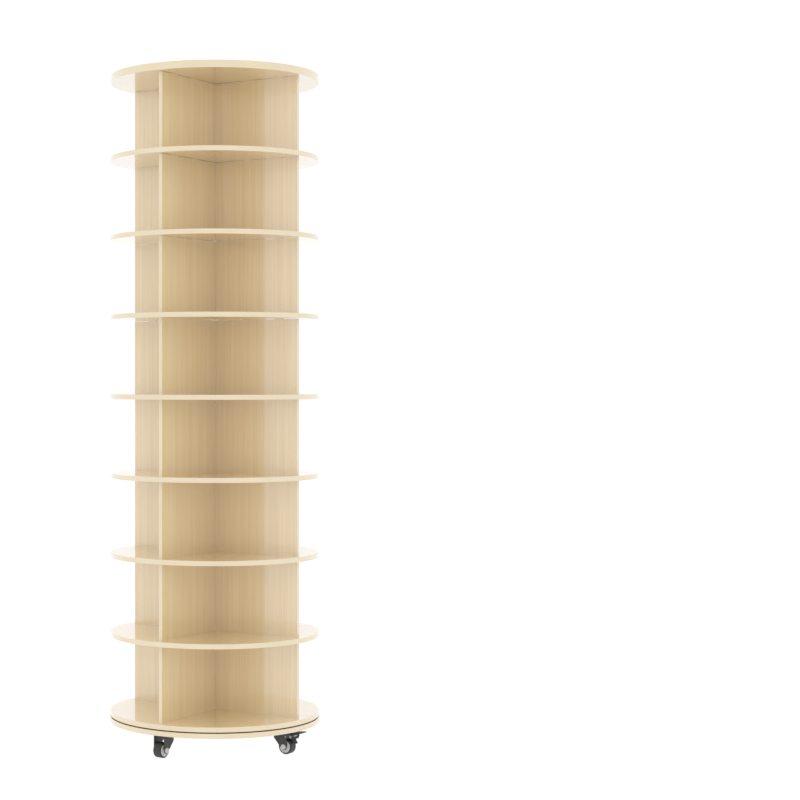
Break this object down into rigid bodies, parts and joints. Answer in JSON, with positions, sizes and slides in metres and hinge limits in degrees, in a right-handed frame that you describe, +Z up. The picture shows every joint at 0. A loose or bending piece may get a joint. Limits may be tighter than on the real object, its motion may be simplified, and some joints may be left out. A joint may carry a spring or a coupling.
{
  "type": "shoe rack",
  "caption": "Tall round shoe rack: disc shelves on crossed upright boards, turning as one tower on a low base disc with swivel casters.",
  "frame": {"origin": "on the floor under the tower's axis, the bottom centre of the bounding box", "axes": "+Z up; one board of every cross lies along X, side to side, and the other along Y, front (-Y) to back (+Y)"},
  "size_m": [0.5324, 0.524, 1.6664],
  "materials": {
    "disc_laminate": "satin maple laminate",
    "divider_laminate": "satin maple laminate, upright grain",
    "edge_band": "cream edge band",
    "bearing_aluminium": "plain",
    "bearing_steel": "polished",
    "cage_plastic": "plain",
    "zinc_steel": "zinc plated",
    "dull_steel": "dull plated",
    "caster_black": "satin black",
    "axle_grey": "light grey",
    "hub_grey": "light grey",
    "tyre_black": "black",
    "lever_black": "satin black"
  },
  "bodies": {
    "base": {"base_disc": "disc_laminate", "base_edge_band": "edge_band", "bearing_outer_ring": "bearing_aluminium", "bearing_screws_lower": "zinc_steel", "caster_plates": "caster_black", "caster_screws": "zinc_steel", "caster_kingpins": "zinc_steel", "caster_swivel_balls": "bearing_steel"},
    "ball_cage": {"bearing_balls": "bearing_steel", "bearing_ball_cage": "cage_plastic"},
    "tower": {"turning_disc": "disc_laminate", "shelf_disc_1": "disc_laminate", "shelf_disc_2": "disc_laminate", "shelf_disc_3": "disc_laminate", "shelf_disc_4": "disc_laminate", "shelf_disc_5": "disc_laminate", "shelf_disc_6": "disc_laminate", "shelf_disc_7": "disc_laminate", "top_disc": "disc_laminate", "disc_edge_bands": "edge_band", "divider_front_back_1": "divider_laminate", "divider_front_back_2": "divider_laminate", "divider_front_back_3": "divider_laminate", "divider_front_back_4": "divider_laminate", "divider_front_back_5": "divider_laminate", "divider_front_back_6": "divider_laminate", "divider_front_back_7": "divider_laminate", "divider_front_back_8": "divider_laminate", "divider_side_side_1": "divider_laminate", "divider_side_side_2": "divider_laminate", "divider_side_side_3": "divider_laminate", "divider_side_side_4": "divider_laminate", "divider_side_side_5": "divider_laminate", "divider_side_side_6": "divider_laminate", "divider_side_side_7": "divider_laminate", "divider_side_side_8": "divider_laminate", "divider_edge_bands": "edge_band", "shelf_screws": "zinc_steel", "bearing_inner_ring": "bearing_aluminium", "bearing_screws_upper": "zinc_steel"},
    "fork_1": {"caster_fork_1": "caster_black", "caster_axle_1": "axle_grey"},
    "wheel_1": {"caster_hub_1": "hub_grey", "caster_tyre_1": "tyre_black"},
    "fork_2": {"caster_fork_2": "caster_black", "caster_axle_2": "axle_grey", "brake_pin_2": "dull_steel"},
    "wheel_2": {"caster_hub_2": "hub_grey", "caster_tyre_2": "tyre_black"},
    "fork_3": {"caster_fork_3": "caster_black", "caster_axle_3": "axle_grey"},
    "wheel_3": {"caster_hub_3": "hub_grey", "caster_tyre_3": "tyre_black"},
    "fork_4": {"caster_fork_4": "caster_black", "caster_axle_4": "axle_grey", "brake_pin_4": "dull_steel"},
    "wheel_4": {"caster_hub_4": "hub_grey", "caster_tyre_4": "tyre_black"},
    "brake_2": {"brake_lever_2": "lever_black"},
    "brake_4": {"brake_lever_4": "lever_black"}
  },
  "joints": [
    {"name": "tower_turn", "type": "hinge", "parent": "base", "child": "tower", "pos_m": [0, 0, 0.0743], "axis": [0, 0, 1], "continuous": true},
    {"name": "cage_turn", "type": "hinge", "parent": "base", "child": "ball_cage", "pos_m": [0, 0, 0.0743], "axis": [0, 0, 1], "continuous": true},
    {"name": "caster_swivel_1", "type": "hinge", "parent": "base", "child": "fork_1", "pos_m": [-0.01239, -0.20262, 0.0563], "axis": [0, 0, 1], "continuous": true},
    {"name": "wheel_roll_1", "type": "hinge", "parent": "fork_1", "child": "wheel_1", "pos_m": [-0.01334, -0.21809, 0.019], "axis": [0.9981, -0.061, 0], "continuous": true},
    {"name": "caster_swivel_2", "type": "hinge", "parent": "base", "child": "fork_2", "pos_m": [0.20262, -0.01239, 0.0563], "axis": [0, 0, 1], "continuous": true},
    {"name": "wheel_roll_2", "type": "hinge", "parent": "fork_2", "child": "wheel_2", "pos_m": [0.21809, -0.01334, 0.019], "axis": [0.061, 0.9981, 0], "continuous": true},
    {"name": "brake_press_2", "type": "hinge", "parent": "fork_2", "child": "brake_2", "pos_m": [0.23855, -0.01459, 0.0455], "axis": [0.061, 0.9981, 0], "range_deg": [0, 28]},
    {"name": "caster_swivel_3", "type": "hinge", "parent": "base", "child": "fork_3", "pos_m": [0.01239, 0.20262, 0.0563], "axis": [0, 0, 1], "continuous": true},
    {"name": "wheel_roll_3", "type": "hinge", "parent": "fork_3", "child": "wheel_3", "pos_m": [0.01334, 0.21809, 0.019], "axis": [-0.9981, 0.061, 0], "continuous": true},
    {"name": "caster_swivel_4", "type": "hinge", "parent": "base", "child": "fork_4", "pos_m": [-0.20262, 0.01239, 0.0563], "axis": [0, 0, 1], "continuous": true},
    {"name": "wheel_roll_4", "type": "hinge", "parent": "fork_4", "child": "wheel_4", "pos_m": [-0.21809, 0.01334, 0.019], "axis": [-0.061, -0.9981, 0], "continuous": true},
    {"name": "brake_press_4", "type": "hinge", "parent": "fork_4", "child": "brake_4", "pos_m": [-0.23855, 0.01459, 0.0455], "axis": [-0.061, -0.9981, 0], "range_deg": [0, 28]}
  ],
  "couplings": [
    {"joint": "cage_turn", "follows": "tower_turn", "ratio": 0.4853}
  ]
}
